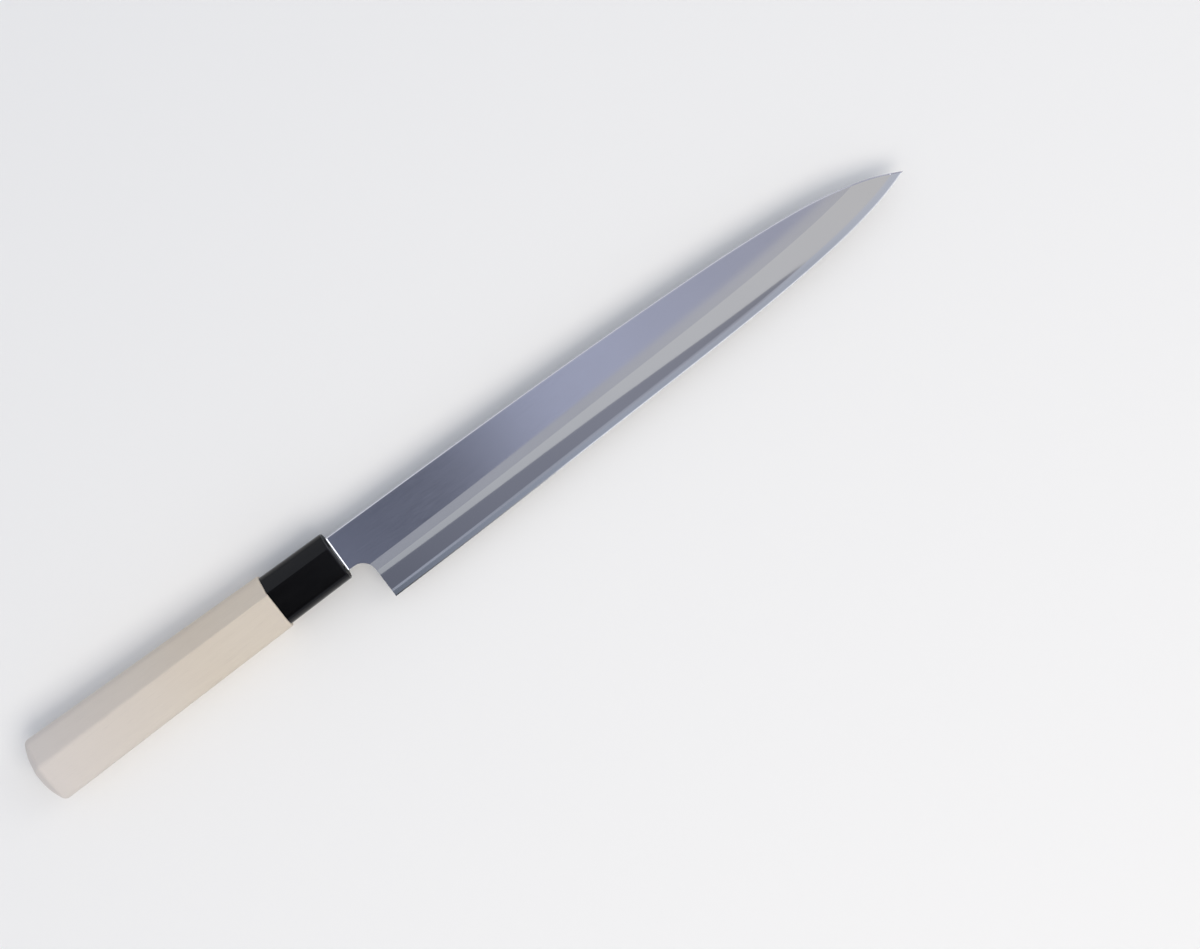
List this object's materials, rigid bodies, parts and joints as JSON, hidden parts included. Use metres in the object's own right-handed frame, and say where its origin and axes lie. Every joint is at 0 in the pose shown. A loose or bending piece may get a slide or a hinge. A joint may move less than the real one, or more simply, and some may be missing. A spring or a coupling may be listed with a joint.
{
  "type": "yanagiba knife",
  "caption": "Long, slender single-bevel slicing knife with a hollow back, a straight spine, a black collar and a pale wooden D-section handle, for the right hand.",
  "frame": {"origin": "on the handle's axis, in the plane of the shoulder (machi) where the blade meets the handle, at mid-thickness of the tang", "axes": "+X along the knife to the tip, +Y to the spine (the edge faces -Y), +Z out of the bevelled side; the hollow back faces -Z"},
  "size_m": [0.3835, 0.0366, 0.0216],
  "materials": {
    "blade_soft_steel": "ground along the edge on the bevel, fine satin along the blade on the flat side",
    "blade_hard_steel": "honed bright, hollow-ground back",
    "ferrule_black": "polished black",
    "handle_wood": "bare, finely sanded, pale magnolia",
    "resin": "clear cured resin"
  },
  "bodies": {
    "root": {"blade_cladding": "blade_soft_steel", "blade_core": "blade_hard_steel", "ferrule": "ferrule_black", "handle": "handle_wood", "tang_bedding": "resin", "mouth_seal": "resin"}
  },
  "joints": []
}
